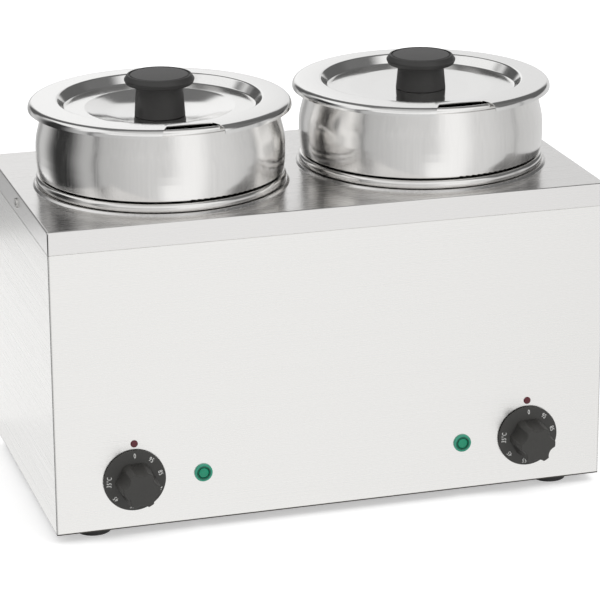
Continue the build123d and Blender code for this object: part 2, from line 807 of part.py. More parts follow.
shoulder_angle = math.radians(shoulder_turn)
belly_angle = math.radians(belly_turn)
pot_mouth_radius = (
    shoulder_centre_radius
    + shoulder_edge_radius * math.sin(shoulder_angle)
    + belly_low_radius * (1 - math.sin(shoulder_angle))
    - (belly_high_radius + collar_radius) * (1 - math.cos(belly_angle))
)
pot_top_z = (
    shoulder_centre_z + shoulder_radius + pot_wall
    + shoulder_edge_radius * (1 - math.cos(shoulder_angle))
    + belly_low_radius * math.cos(shoulder_angle)
    + belly_flat
    + (belly_high_radius + collar_radius) * math.sin(belly_angle)
    + rim_straight + rim_radius
)
pot_floor_z = pot_top_z - pot_height + pot_wall


def make_pot(x):
    """Drawn pot: tapered body, shoulder over the bead, bellied collar and rolled rim."""
    with BuildPart() as pot:
        with BuildSketch(upright(x)):
            with BuildLine():
                floor = Line((0, pot_floor_z), (pot_foot_radius - pot_corner_radius, pot_floor_z))
                corner = JernArc(floor @ 1, floor % 1, pot_corner_radius, 90)
                Line(corner @ 1, (shoulder_centre_radius - shoulder_radius - pot_wall, shoulder_centre_z))
                shoulder = CenterArc((shoulder_centre_radius, shoulder_centre_z),
                                     shoulder_radius + pot_wall, 180, -90)
                edge = JernArc(shoulder @ 1, (1, 0), shoulder_edge_radius, shoulder_turn)
                low = JernArc(edge @ 1, edge % 1, belly_low_radius, 90 - shoulder_turn)
                flat = Line(low @ 1, low @ 1 + Vector(0, belly_flat))
                high = JernArc(flat @ 1, (0, 1), belly_high_radius, belly_turn)
                collar = JernArc(high @ 1, high % 1, collar_radius, -belly_turn)
                mouth = Line(collar @ 1, collar @ 1 + Vector(0, rim_straight))
                JernArc(mouth @ 1, (0, 1), rim_radius, -curl_turn)
                offset(amount=pot_wall, side=Side.RIGHT)
            make_face()
        revolve(axis=centre_line(x))
    return pot.part


rim_centre_radius = pot_mouth_radius + rim_radius
lid_radius = rim_centre_radius + rim_radius + lid_overhang
recess_radius = pot_mouth_radius - recess_margin
recess_floor_radius = recess_radius - recess_inset
dish_radius = recess_floor_radius - dish_inset
fall_to_rim = lid_fall * (rim_centre_radius - recess_radius) / (lid_radius - recess_radius)
lid_edge_z = pot_top_z + lid_seat_gap + lid_sheet + fall_to_rim
recess_z = lid_edge_z - recess_depth
knob_seat_z = recess_z + dish_rise
lip_z = lid_edge_z - lid_fall - lid_lip_height


def make_lid(x, turn):
    """Pressed lid: recessed top with a shallow dish, falling flange, turned lip and ladle notch."""
    with BuildPart() as lid:
        with BuildSketch(upright(x)):
            with BuildLine():
                FilletPolyline(
                    (0, knob_seat_z),
                    (knob_seat_radius, knob_seat_z),
                    (dish_radius - dish_step_run, recess_z + dish_step),
                    (dish_radius, recess_z),
                    (recess_floor_radius, recess_z),
                    (recess_radius, lid_edge_z),
                    (lid_radius, lid_edge_z - lid_fall),
                    (lid_radius, lip_z),
                    radius=[dish_bend, recess_bend, recess_bend, recess_bend, recess_bend, lid_lip_radius],
                )
                offset(amount=lid_sheet, side=Side.RIGHT)
            make_face()
        revolve(axis=centre_line(x))
        with BuildSketch(level(x, well_y, lid_edge_z).rotated((0, 0, turn))):
            with Locations((0, notch_depth - lid_radius)):
                RectangleRounded(notch_width, 2 * notch_depth, notch_corner_radius,
                                 align=(Align.CENTER, Align.MAX))
        extrude(amount=2 * recess_depth, both=True, mode=Mode.SUBTRACT)
        with BuildSketch(level(x, well_y, knob_seat_z)):
            Circle(m5_radius + screw_clearance)
        extrude(amount=-2 * lid_sheet, mode=Mode.SUBTRACT)
    return lid.part


def make_lid_knob(x):
    """Turned black knob: slightly tapered stem, cove under the head, crowned disc in a fine groove."""
    base_z = knob_seat_z + seat_gap
    head_z = base_z + lid_knob_height - lid_knob_head_height
    top_z = base_z + lid_knob_height
    crown_reach = lid_knob_disc_radius - lid_knob_groove
    crown_radius = (crown_reach ** 2 + lid_knob_crown ** 2) / (2 * lid_knob_crown)
    with BuildPart() as knob:
        with BuildSketch(upright(x)):
            with BuildLine():
                FilletPolyline(
                    (0, base_z),
                    (lid_knob_base_radius, base_z),
                    (lid_knob_neck_radius, head_z - lid_knob_cove),
                    (lid_knob_neck_radius, head_z),
                    (lid_knob_head_radius - lid_knob_head_taper, head_z),
                    (lid_knob_head_radius, (head_z + top_z) / 2),
                    (lid_knob_disc_radius + 2 * lid_knob_groove, top_z),
                    (lid_knob_disc_radius, top_z),
                    (lid_knob_disc_radius, top_z - lid_knob_groove),
                    radius=[edge_round, 4 * lid_knob_cove, lid_knob_cove / 2, lid_knob_head_taper,
                            lid_knob_head_taper, lid_knob_head_taper, lid_knob_groove / 3],
                )
                crown = JernArc((0, top_z - lid_knob_groove + lid_knob_crown), (1, 0), crown_radius,
                                -math.degrees(math.asin(crown_reach / crown_radius)))
                Line(crown @ 1, (lid_knob_disc_radius, top_z - lid_knob_groove))
                Line((0, top_z - lid_knob_groove + lid_knob_crown), (0, base_z))
            make_face()
        revolve(axis=centre_line(x))
        with BuildSketch(level(x, well_y, base_z)):
            Circle(m5_radius + thread_gap)
        extrude(amount=lid_knob_bore_depth, mode=Mode.SUBTRACT)
    return knob.part


for side_name, hand in hands.items():
    well_x = hand * well_pitch / 2
    save(make_pot(well_x), f"pot_{side_name}")
    save(make_lid(well_x, notch_turn[side_name]), f"lid_{side_name}")
    save(make_lid_knob(well_x), f"lid_knob_{side_name}")
    save(screws([underside(well_x, well_y, knob_seat_z - lid_sheet)],
                lid_screw_head_radius, m5_head_height, m5_radius, lid_knob_bore_depth),
         f"lid_knob_screw_{side_name}")
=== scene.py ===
"""Looks of the bain marie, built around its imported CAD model. Metres, in the frame of the CAD."""
import json
import math

import bmesh
import bpy
from mathutils import Matrix, Vector


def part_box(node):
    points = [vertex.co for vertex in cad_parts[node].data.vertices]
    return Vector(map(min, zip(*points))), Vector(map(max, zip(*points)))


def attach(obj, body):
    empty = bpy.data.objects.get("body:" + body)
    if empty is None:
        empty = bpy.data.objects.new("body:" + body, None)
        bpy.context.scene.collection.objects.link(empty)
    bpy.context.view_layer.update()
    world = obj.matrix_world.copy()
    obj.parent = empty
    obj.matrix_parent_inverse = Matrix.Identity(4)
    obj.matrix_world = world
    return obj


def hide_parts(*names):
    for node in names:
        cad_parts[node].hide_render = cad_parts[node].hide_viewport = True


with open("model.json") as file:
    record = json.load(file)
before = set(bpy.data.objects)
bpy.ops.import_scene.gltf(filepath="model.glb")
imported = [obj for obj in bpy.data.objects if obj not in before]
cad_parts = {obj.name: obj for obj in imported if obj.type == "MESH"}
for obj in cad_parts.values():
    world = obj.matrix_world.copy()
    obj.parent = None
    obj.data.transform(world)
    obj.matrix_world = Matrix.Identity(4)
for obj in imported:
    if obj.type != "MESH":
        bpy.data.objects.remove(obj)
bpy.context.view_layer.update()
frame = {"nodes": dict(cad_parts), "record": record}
nodes = frame["nodes"]

SIDES = ("left", "right")
MM = 0.001


# Camera

CAMERA_PLACE = (-0.71043, -2.41694, 0.99224)
CAMERA_RIGHT = (0.95828, -0.28578, -0.00508)
CAMERA_FORWARD = (0.2698, 0.91028, -0.31399)
CAMERA_LENS = 175.72
CAMERA_SENSOR = 36.0
CAMERA_CLIP = (0.1, 60.0)


def make_camera():
    """Camera at the photograph's viewing angle."""
    forward = Vector(CAMERA_FORWARD).normalized()
    right = Vector(CAMERA_RIGHT)
    right = (right - right.dot(forward) * forward).normalized()
    up = right.cross(forward)
    data = bpy.data.cameras.new("camera")
    data.lens = CAMERA_LENS
    data.sensor_width = CAMERA_SENSOR
    data.clip_start, data.clip_end = CAMERA_CLIP
    camera = bpy.data.objects.new("camera", data)
    axes = Matrix((right, up, -forward)).transposed()
    camera.matrix_world = Matrix.Translation(CAMERA_PLACE) @ axes.to_4x4()
    bpy.context.scene.collection.objects.link(camera)
    bpy.context.scene.camera = camera


# Materials

NOISE_LOW = 0.3
NOISE_HIGH = 0.7
NOISE_ROUGHNESS = 0.6
METAL_RELIEF = 0.4
METAL_ROUGH_SPREAD = 0.25
PLASTIC_RELIEF = 0.35
PLASTIC_ROUGH_SPREAD = 0.1


def new_material(name):
    """A node material with its Principled shader."""
    material = bpy.data.materials.new(name)
    material.use_nodes = True
    return material, material.node_tree.nodes["Principled BSDF"]


def add_node(material, kind, **values):
    """A node with its input sockets set by name."""
    node = material.node_tree.nodes.new(kind)
    for name, value in values.items():
        node.inputs[name].default_value = value
    return node


def link(material, source, target):
    """Connect an output socket to an input socket."""
    material.node_tree.links.new(source, target)


def stretched_noise(material, scale, detail=3.0):
    """Noise in the object's own space, stretched by a different scale on each axis."""
    coordinate = add_node(material, "ShaderNodeTexCoord")
    mapping = add_node(material, "ShaderNodeMapping", Scale=scale)
    noise = add_node(material, "ShaderNodeTexNoise", Scale=1.0, Detail=detail, Roughness=NOISE_ROUGHNESS)
    link(material, coordinate.outputs["Object"], mapping.inputs["Vector"])
    link(material, mapping.outputs["Vector"], noise.inputs["Vector"])
    return noise.outputs["Fac"]


def spread(material, value, low, high):
    """The usual range of a noise value carried over to the range from low to high."""
    node = add_node(material, "ShaderNodeMapRange",
                    **{"From Min": NOISE_LOW, "From Max": NOISE_HIGH, "To Min": low, "To Max": high})
    link(material, value, node.inputs["Value"])
    return node.outputs["Result"]


def blend_colours(material, value, dark, light):
    """Colour between dark and light by a noise value."""
    ramp = add_node(material, "ShaderNodeValToRGB")
    ramp.color_ramp.elements[0].position = NOISE_LOW
    ramp.color_ramp.elements[0].color = (*dark, 1)
    ramp.color_ramp.elements[1].position = NOISE_HIGH
    ramp.color_ramp.elements[1].color = (*light, 1)
    link(material, value, ramp.inputs["Fac"])
    return ramp.outputs["Color"]


def bump(material, shader, value, strength, distance):
    """Relief of a noise value on the shader's surface."""
    node = add_node(material, "ShaderNodeBump", Strength=strength, Distance=distance)
    link(material, value, node.inputs["Height"])
    link(material, node.outputs["Normal"], shader.inputs["Normal"])


def shade(colour, factor):
    """A colour made darker or lighter."""
    return tuple(min(1.0, part * factor) for part in colour)


def metal(name, colour, roughness, grain, contrast, depth=0.00001):
    """Bright metal with a grain."""
    material, shader = new_material(name)
    lines = stretched_noise(material, grain)
    shader.inputs["Metallic"].default_value = 1.0
    colours = blend_colours(material, lines, shade(colour, 1 - contrast), shade(colour, 1 + contrast))
    link(material, colours, shader.inputs["Base Color"])
    rough = spread(material, lines,
                   roughness * (1 - METAL_ROUGH_SPREAD), roughness * (1 + METAL_ROUGH_SPREAD))
    link(material, rough, shader.inputs["Roughness"])
    bump(material, shader, lines, METAL_RELIEF, depth)
    return material


def plastic(name, colour, roughness, depth=0.00006, texture=2600.0, contrast=0.12):
    """Moulded plastic with an eroded surface texture."""
    material, shader = new_material(name)
    speckle = stretched_noise(material, (texture, texture, texture), detail=2.0)
    colours = blend_colours(material, speckle, shade(colour, 1 - contrast), shade(colour, 1 + contrast))
    link(material, colours, shader.inputs["Base Color"])
    rough = spread(material, speckle,
                   roughness * (1 - PLASTIC_ROUGH_SPREAD), roughness * (1 + PLASTIC_ROUGH_SPREAD))
    link(material, rough, shader.inputs["Roughness"])
    bump(material, shader, speckle, PLASTIC_RELIEF, depth)
    return material


# Colour, roughness, grain on each axis in cycles a metre, contrast, and relief depth where it is finer
METALS = {
    "panel_steel": ((0.89, 0.882, 0.865), 0.26, (6, 6, 2600), 0.02),
    "deck_steel": ((0.82, 0.81, 0.80), 0.24, (8, 1800, 1800), 0.03),
    "well_steel": ((0.84, 0.83, 0.815), 0.13, (700, 700, 60), 0.03),
    "pot_steel": ((0.90, 0.89, 0.875), 0.17, (500, 500, 8), 0.02, 0.000003),
    "lid_steel": ((0.90, 0.895, 0.885), 0.11, (500, 500, 500), 0.02),
    "base_steel": ((0.55, 0.545, 0.53), 0.35, (40, 900, 900), 0.06),
    "fastener_steel": ((0.66, 0.655, 0.64), 0.28, (1500, 1500, 1500), 0.06),
    "element_steel": ((0.34, 0.30, 0.26), 0.45, (900, 900, 900), 0.15),
    "capillary_copper": ((0.72, 0.38, 0.22), 0.3, (700, 700, 700), 0.06),
    "earth_brass": ((0.78, 0.60, 0.28), 0.25, (1500, 1500, 1500), 0.05),
}
# Colour and roughness, then relief depth, texture in cycles a metre and contrast where they differ
PLASTICS = {
    "foot_rubber": ((0.022, 0.022, 0.022), 0.62),
    "lid_knob_plastic": ((0.035, 0.034, 0.033), 0.45, 0.00006, 1800.0),
    "control_knob_plastic": ((0.042, 0.041, 0.038), 0.52, 0.00006, 2200.0),
    "lamp_bezel_plastic": ((0.03, 0.31, 0.20), 0.25, 0.00001),
    "lamp_lens_green": ((0.0, 0.27, 0.145), 0.18, 0.00001),
    "lamp_ring_green": ((0.0, 0.10, 0.055), 0.22, 0.00001),
    "index_red": ((0.10, 0.008, 0.016), 0.25, 0.00001),
    "thermostat_plastic": ((0.66, 0.62, 0.54), 0.5),
    "gland_plastic": ((0.06, 0.06, 0.06), 0.45),
    "terminal_plastic": ((0.78, 0.77, 0.74), 0.35),
    "scale_white": ((0.80, 0.80, 0.78), 0.5, 0.00006, 2600.0, 0.03),
    # Painted shadow: near-black colour of the strip that stands in for the shade of the gap under the casing
    "painted_base_shadow": ((0.05, 0.043, 0.036), 0.5),
}
materials = {name: metal(name, *look) for name, look in METALS.items()}
materials.update({name: plastic(name, *look) for name, look in PLASTICS.items()})


def coat(piece, look):
    """Give a piece one of the materials alone."""
    piece.data.materials.clear()
    piece.data.materials.append(materials[look])


def dress_cad_nodes():
    """Each CAD node gets the material of its slot in the record."""
    for part in frame["record"]["subparts"]:
        coat(nodes[part["node"]], part["material_slot"])


# Shapes, in millimetres round a centre line

ARC_STEPS = 7
ON_AXIS = 0.001
LID_SIDES = 192
KNOB_SIDES = 128
LAMP_SIDES = 64
SCREW_SIDES = 48
# Steepest bend in degrees that a curved face still smooths over
CUT_SMOOTH = 35
CONTROL_SMOOTH = 40
KNOB_SMOOTH = 50


def rounded(corners, radii):
    """Line through the corners, with an arc of its own radius at each inner corner."""
    line = [Vector(corners[0])]
    for before, corner, after, radius in zip(corners, corners[1:], corners[2:], radii):
        corner = Vector(corner)
        into = (Vector(before) - corner).normalized()
        out = (Vector(after) - corner).normalized()
        half = into.angle(out) / 2
        centre = corner + (into + out).normalized() * radius / math.sin(half)
        reach = radius / math.tan(half)
        start = (corner + into * reach - centre).normalized()
        end = (corner + out * reach - centre).normalized()
        line += [centre + start.slerp(end, step / ARC_STEPS) * radius for step in range(ARC_STEPS + 1)]
    line.append(Vector(corners[-1]))
    return line


def offset_line(line, distance):
    """The line moved to its right-hand side."""
    moved = []
    for index, point in enumerate(line):
        before = line[max(index - 1, 0)]
        after = line[min(index + 1, len(line) - 1)]
        along = (after - before).normalized()
        moved.append(point + Vector((along.y, -along.x)) * distance)
    return moved


def turned(name, outline, axis, segments):
    """Closed outline of radius and height, turned round the vertical axis."""
    mesh = bmesh.new()
    rings = []
    for radius, height in outline:
        # A point on the axis is one vertex
        count = segments if radius > ON_AXIS else 1
        turns = [2 * math.pi * step / segments for step in range(count)]
        rings.append([mesh.verts.new((axis[0] + radius * MM * math.cos(turn),
                                      axis[1] + radius * MM * math.sin(turn), height * MM))
                      for turn in turns])
    for lower, upper in zip(rings, rings[1:] + rings[:1]):
        for step in range(segments):
            ends = (step, (step + 1) % segments)
            corners = [lower[end % len(lower)] for end in ends]
            corners += [upper[end % len(upper)] for end in ends[::-1]]
            corners = list(dict.fromkeys(corners))
            if len(corners) > 2:
                mesh.faces.new(corners)
    return finish_mesh(name, mesh)


def prism(name, outline, axis, low, high, turn=0.0):
    """Upright prism on an outline in plan."""
    mesh = bmesh.new()
    spin = Matrix.Rotation(turn, 2)
    plan = [Vector(axis) + spin @ Vector(point) * MM for point in outline]
    bottom = [mesh.verts.new((*point, low * MM)) for point in plan]
    top = [mesh.verts.new((*point, high * MM)) for point in plan]
    mesh.faces.new(bottom)
    mesh.faces.new(top)
    for index in range(len(plan)):
        following = (index + 1) % len(plan)
        mesh.faces.new((bottom[index], bottom[following], top[following], top[index]))
    return finish_mesh(name, mesh)


def finish_mesh(name, mesh):
    """Object from a mesh in work, with its faces turned outward and smooth."""
    bmesh.ops.recalc_face_normals(mesh, faces=mesh.faces)
    for face in mesh.faces:
        face.smooth = True
    data = bpy.data.meshes.new(name)
    mesh.to_mesh(data)
    mesh.free()
    piece = bpy.data.objects.new(name, data)
    bpy.context.scene.collection.objects.link(piece)
    return piece


def flat_faces(piece):
    """Show a piece's faces flat."""
    for face in piece.data.polygons:
        face.use_smooth = False


def sharpen(piece, degrees):
    """Keep the edges sharp that bend more than an angle."""
    piece.data.set_sharp_from_angle(angle=math.radians(degrees))


def cut(piece, tool):
    """Take the tool's space out of the piece, and the tool away."""
    modifier = piece.modifiers.new("cut", "BOOLEAN")
    modifier.operation = "DIFFERENCE"
    modifier.solver = "EXACT"
    modifier.object = tool
    shaped = piece.evaluated_get(bpy.context.evaluated_depsgraph_get())
    piece.data = bpy.data.meshes.new_from_object(shaped)
    piece.modifiers.clear()
    bpy.data.objects.remove(tool)
    sharpen(piece, CUT_SMOOTH)


def pot_axis(side):
    """Centre of a pot in plan."""
    low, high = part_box(f"pot_{side}")
    return ((low[0] + high[0]) / 2, (low[1] + high[1]) / 2)


# Lids and their knobs, in millimetres

LID_SHEET = 0.8
LID_RADIUS = 115.48
LIP_RADIUS = 6.0
LIP_ABOVE_RECESS = 0.8
FLANGE_FALL = 0.9
RECESS_RADIUS = 89.98
RECESS_DEPTH = 8.2
RECESS_INSET = 6.0
BEND = 2.5
# The dish starts with a small step, deeper on the left lid
DISH_RADIUS = 66.0
DISH_STEP = {"left": 0.8, "right": 0.1}
DISH_STEP_RUN = 3.0
DISH_MIDDLE = 44.0
DISH_BEND = 110.0
# Depths below the lid's top edge: the left lid is pressed deeper than the right one
DISH_DEPTH = {"left": 13.4, "right": 9.3}
SEAT_DEPTH = {"left": 16.0, "right": 9.8}
SEAT_RADIUS = 23.5
SEAT_BEND = 20.0
NOTCH_WIDTH = 40.0
NOTCH_MOUTH = 59.0
NOTCH_DEPTH = 17.5
NOTCH_CORNER = 4.0
NOTCH_TURN = {"left": 1.0, "right": 1.8}
CUT_MARGIN = 5.0

KNOB_GAP = 0.1
KNOB_RISE = 20.5
KNOB_BASE_RADIUS = 22.3
KNOB_NECK_RADIUS = 20.7
KNOB_HEAD_RADIUS = 31.1
KNOB_HEAD_HEIGHT = 8.2
KNOB_COVE = 5.0
KNOB_TAPER = 1.8
KNOB_DISC_RADIUS = 26.9
KNOB_RIM = 1.2
KNOB_GROOVE = 0.9
# Radii of the outline's corners, from the foot up and in to the middle of the top
KNOB_ROUNDS = [0.6, 20, 2.5, 1.8, 1.8, 1.0, 0.2, 0.1, 0.1, 0.4]

SCREW_HEAD_RADIUS = 6.0
SCREW_HEAD_HEIGHT = 3.0
SCREW_RADIUS = 2.5
SCREW_ROUNDS = [2.2, 0.1, 0.1, 0.1]
SCREW_SLOT = (1.1, 0.9)
SLOT_MARGIN = 2.0


def lid_heights(side):
    """Top of the flange and underside of the lip, from the lid's node."""
    low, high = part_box(f"lid_{side}")
    recess = low[2] / MM + LID_SHEET
    return recess + RECESS_DEPTH, recess + LIP_ABOVE_RECESS


def lid_section(side):
    """Closed outline of half the lid: its upper face and, a sheet below it, its underside."""
    edge, lip = lid_heights(side)
    recess = edge - RECESS_DEPTH
    seat = edge - SEAT_DEPTH[side]
    upper = rounded(
        [(0, seat), (SEAT_RADIUS, seat), (DISH_MIDDLE, edge - DISH_DEPTH[side]),
         (DISH_RADIUS - DISH_STEP_RUN, recess - DISH_STEP[side]), (DISH_RADIUS, recess),
         (RECESS_RADIUS - RECESS_INSET, recess), (RECESS_RADIUS, edge),
         (LID_RADIUS, edge - FLANGE_FALL), (LID_RADIUS, lip)],
        [SEAT_BEND, DISH_BEND, BEND, BEND, BEND, BEND, LIP_RADIUS])
    lower = offset_line(upper, LID_SHEET)
    lower[0].x = 0
    return upper + lower[::-1]


def notch_plan():
    """Ladle notch seen from above, its sides spreading toward the lid's edge and past it."""
    half = NOTCH_WIDTH / 2
    reach = NOTCH_MOUTH / 2 + (NOTCH_MOUTH - NOTCH_WIDTH) / 2
    inner = NOTCH_DEPTH - LID_RADIUS
    outer = inner - 2 * NOTCH_DEPTH
    return rounded([(-reach, outer), (-half, inner), (half, inner), (reach, outer)], [NOTCH_CORNER] * 2)


def make_lid(side):
    """Pressed lid with its top dished down to the knob, turned lip and flared ladle notch."""
    edge, lip = lid_heights(side)
    lid = turned(f"lid_sheet_{side}", lid_section(side), pot_axis(side), LID_SIDES)
    cut(lid, prism("notch", notch_plan(), pot_axis(side), lip - CUT_MARGIN, edge + CUT_MARGIN,
                   math.radians(NOTCH_TURN[side])))
    coat(lid, "lid_steel")
    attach(lid, f"lid_{side}")
    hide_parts(f"lid_{side}")


def make_lid_knob(side):
    """Moulded knob: stem, cove under a rounded head, and a flat disc inside a fine groove."""
    edge = lid_heights(side)[0]
    base = edge - SEAT_DEPTH[side] + KNOB_GAP
    top = edge + KNOB_RISE
    under = top - KNOB_HEAD_HEIGHT
    outline = rounded(
        [(0, base), (KNOB_BASE_RADIUS, base), (KNOB_NECK_RADIUS, under - KNOB_COVE),
         (KNOB_NECK_RADIUS, under), (KNOB_HEAD_RADIUS - KNOB_TAPER, under),
         (KNOB_HEAD_RADIUS, (under + top) / 2), (KNOB_DISC_RADIUS + KNOB_RIM, top),
         (KNOB_DISC_RADIUS, top), (KNOB_DISC_RADIUS, top - KNOB_GROOVE),
         (KNOB_DISC_RADIUS - KNOB_GROOVE, top - KNOB_GROOVE), (KNOB_DISC_RADIUS - 2 * KNOB_GROOVE, top),
         (0, top)],
        KNOB_ROUNDS)
    knob = turned(f"lid_grip_{side}", outline, pot_axis(side), KNOB_SIDES)
    sharpen(knob, KNOB_SMOOTH)
    coat(knob, "lid_knob_plastic")
    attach(knob, f"lid_{side}")
    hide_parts(f"lid_knob_{side}")


def make_lid_screw(side):
    """Slotted pan-head screw under the lid that holds its knob."""
    seat = lid_heights(side)[0] - SEAT_DEPTH[side] - LID_SHEET
    low = seat - SCREW_HEAD_HEIGHT
    outline = rounded([(0, low), (SCREW_HEAD_RADIUS, low), (SCREW_HEAD_RADIUS, seat), (SCREW_RADIUS, seat),
                       (SCREW_RADIUS, seat + LID_SHEET), (0, seat + LID_SHEET)], SCREW_ROUNDS)
    screw = turned(f"knob_screw_{side}", outline, pot_axis(side), SCREW_SIDES)
    wide, deep = SCREW_SLOT
    reach = SCREW_HEAD_RADIUS + SLOT_MARGIN
    slot = [(-reach, -wide / 2), (reach, -wide / 2), (reach, wide / 2), (-reach, wide / 2)]
    cut(screw, prism("slot", slot, pot_axis(side), low - SLOT_MARGIN, low + deep))
    coat(screw, "fastener_steel")
    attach(screw, f"lid_{side}")
    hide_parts(f"lid_knob_screw_{side}")


# Controls on the front panel, in millimetres from the panel's face

SKIRT_RADIUS = 27.5
SKIRT_EDGE = 1.6
SKIRT_RISE = 2.0
SKIRT_GAP = 1.0
SKIRT_ROUNDS = [0.3, 0.5, 0.5]

GRIP_BASE_RADIUS = 17.8
GRIP_FRONT_RADIUS = 16.4
GRIP_LOBES = 6
GRIP_OVERLAP = 1.0
GRIP_EDGE = 1.3
GRIP_EDGE_STEPS = 6
GRIP_FRONT_DIP = 0.25
GRIP_SIDES = 240
HOLLOW_DEPTH = 3.2
HOLLOW_RADIUS = 8.5
LOBE_SHARPNESS = 3.0

# Each number of the scale and its place in degrees, to the left from the top
SCALE = {"0": 0, "35\u00b0C": 87, "45": 130, "55": 172, "65": 210, "75": 247, "85": 283, "95": 321}
SCALE_RADIUS = 22.9
SCALE_SIZE = 5.8
SCALE_NARROW = 0.74
SCALE_SPACING = 1.12
SCALE_THICKNESS = 0.1
SCALE_LIFT = 0.06

LENS_RADIUS = 4.5
LENS_HEIGHT = 2.5
LENS_ROUNDS = [0.2, 0.9]
BEZEL_HEIGHT = 1.8
RING_RADIUS = 6.1
RING_ROUNDS = [0.2, 0.2, 0.2]
# Heights of the ring over the bezel: its outer side, the top of its inner bevel and the bevel's foot
RING_RISES = (0.5, 0.1, -0.6)
RING_BEVEL = 0.5

# Size of the strip of painted shadow under the casing
SHADOW_STRIP_HEIGHT = 1.3
SHADOW_STRIP_INSET = 0.4


def front_axis(node):
    """Point on the panel's face at the middle of a control."""
    low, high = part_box(node)
    return Vector(((low[0] + high[0]) / 2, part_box("casing_wrap")[0][1], (low[2] + high[2]) / 2))


def face_front(piece, centre):
    """Turn a piece made upright so that it stands out of the front panel."""
    piece.data.transform(Matrix.Translation(centre) @ Matrix.Rotation(math.radians(90), 4, "X"))


def grip_radius(turn, radius):
    """Radius of the scalloped grip at one angle: hollows with lobes between."""
    sector = 2 * math.pi / GRIP_LOBES
    off = (turn - math.pi / 2 + sector / 2) % sector - sector / 2
    centre = radius - HOLLOW_DEPTH + HOLLOW_RADIUS
    reach = HOLLOW_RADIUS ** 2 - (centre * math.sin(off)) ** 2
    hollow = centre * math.cos(off) - math.sqrt(max(reach, 0))
    # Soft minimum, so that the lobes have rounded edges
    blend = math.exp(-hollow * LOBE_SHARPNESS) + math.exp(-radius * LOBE_SHARPNESS)
    return -math.log(blend) / LOBE_SHARPNESS


def make_skirt(side):
    """Thin skirt of the control knob, sloping up to the grip."""
    back = SKIRT_GAP
    top = SKIRT_GAP + SKIRT_EDGE + SKIRT_RISE
    outline = rounded([(0, back), (SKIRT_RADIUS, back), (SKIRT_RADIUS, back + SKIRT_EDGE),
                       (GRIP_BASE_RADIUS - GRIP_OVERLAP, top), (0, top)], SKIRT_ROUNDS)
    return turned(f"dial_{side}", outline, (0, 0), KNOB_SIDES)


def make_grip(side):
    """Tapered scalloped grip with a rounded front edge."""
    front = (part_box("casing_wrap")[0][1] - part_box(f"control_knob_{side}")[0][1]) / MM
    skirt_top = SKIRT_GAP + SKIRT_EDGE + SKIRT_RISE
    # Height of each ring of the grip and how far it lies inside the tapered side
    levels = [(skirt_top - GRIP_OVERLAP, 0)]
    for step in range(GRIP_EDGE_STEPS + 1):
        angle = math.radians(90 * step / GRIP_EDGE_STEPS)
        levels.append((front - GRIP_EDGE * (1 - math.sin(angle)), GRIP_EDGE * (1 - math.cos(angle))))
    levels.append((front - GRIP_FRONT_DIP, GRIP_FRONT_RADIUS / 2))
    mesh = bmesh.new()
    rings = []
    for height, inset in levels:
        part = (height - skirt_top) / (front - skirt_top)
        radius = GRIP_BASE_RADIUS + (GRIP_FRONT_RADIUS - GRIP_BASE_RADIUS) * part
        ring = []
        for step in range(GRIP_SIDES):
            turn = 2 * math.pi * step / GRIP_SIDES
            out = (grip_radius(turn, radius) - inset) * MM
            ring.append(mesh.verts.new((out * math.cos(turn), out * math.sin(turn), height * MM)))
        rings.append(ring)
    for lower, upper in zip(rings, rings[1:]):
        for step in range(GRIP_SIDES):
            following = (step + 1) % GRIP_SIDES
            mesh.faces.new((lower[step], lower[following], upper[following], upper[step]))
    mesh.faces.new(rings[0])
    mesh.faces.new(rings[-1])
    return finish_mesh(f"dial_grip_{side}", mesh)


def make_control_knob(side):
    """Knob with a thin numbered skirt and a tapered scalloped grip."""
    for piece in (make_skirt(side), make_grip(side)):
        face_front(piece, front_axis(f"control_knob_{side}"))
        sharpen(piece, CONTROL_SMOOTH)
        coat(piece, "control_knob_plastic")
        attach(piece, f"knob_{side}")
        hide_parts(f"control_knob_{side}")


def number_mesh(label):
    """Mesh of one number, flat and centred."""
    curve = bpy.data.curves.new(label, "FONT")
    curve.body = label
    curve.size = SCALE_SIZE * MM
    curve.extrude = SCALE_THICKNESS / 2 * MM
    curve.space_character = SCALE_SPACING
    curve.align_x = "CENTER"
    curve.align_y = "CENTER"
    word = bpy.data.objects.new(label, curve)
    bpy.context.scene.collection.objects.link(word)
    mesh = bpy.data.meshes.new_from_object(word.evaluated_get(bpy.context.evaluated_depsgraph_get()))
    bpy.data.objects.remove(word)
    return mesh


def make_scale(side):
    """White numbers round the skirt, their tops outward."""
    fall = math.atan(SKIRT_RISE / (SKIRT_RADIUS - GRIP_BASE_RADIUS))
    height = SKIRT_GAP + SKIRT_EDGE + (SKIRT_RADIUS - SCALE_RADIUS) * math.tan(fall) + SCALE_LIFT
    mesh = bmesh.new()
    for label, degrees in SCALE.items():
        flat = number_mesh(label)
        flat.transform(Matrix.Rotation(math.radians(degrees), 4, "Z")
                       @ Matrix.Translation((0, SCALE_RADIUS * MM, height * MM))
                       @ Matrix.Rotation(-fall, 4, "X") @ Matrix.Diagonal((SCALE_NARROW, 1, 1, 1)))
        mesh.from_mesh(flat)
    scale = finish_mesh(f"dial_scale_{side}", mesh)
    face_front(scale, front_axis(f"control_knob_{side}"))
    flat_faces(scale)
    coat(scale, "scale_white")
    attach(scale, f"knob_{side}")


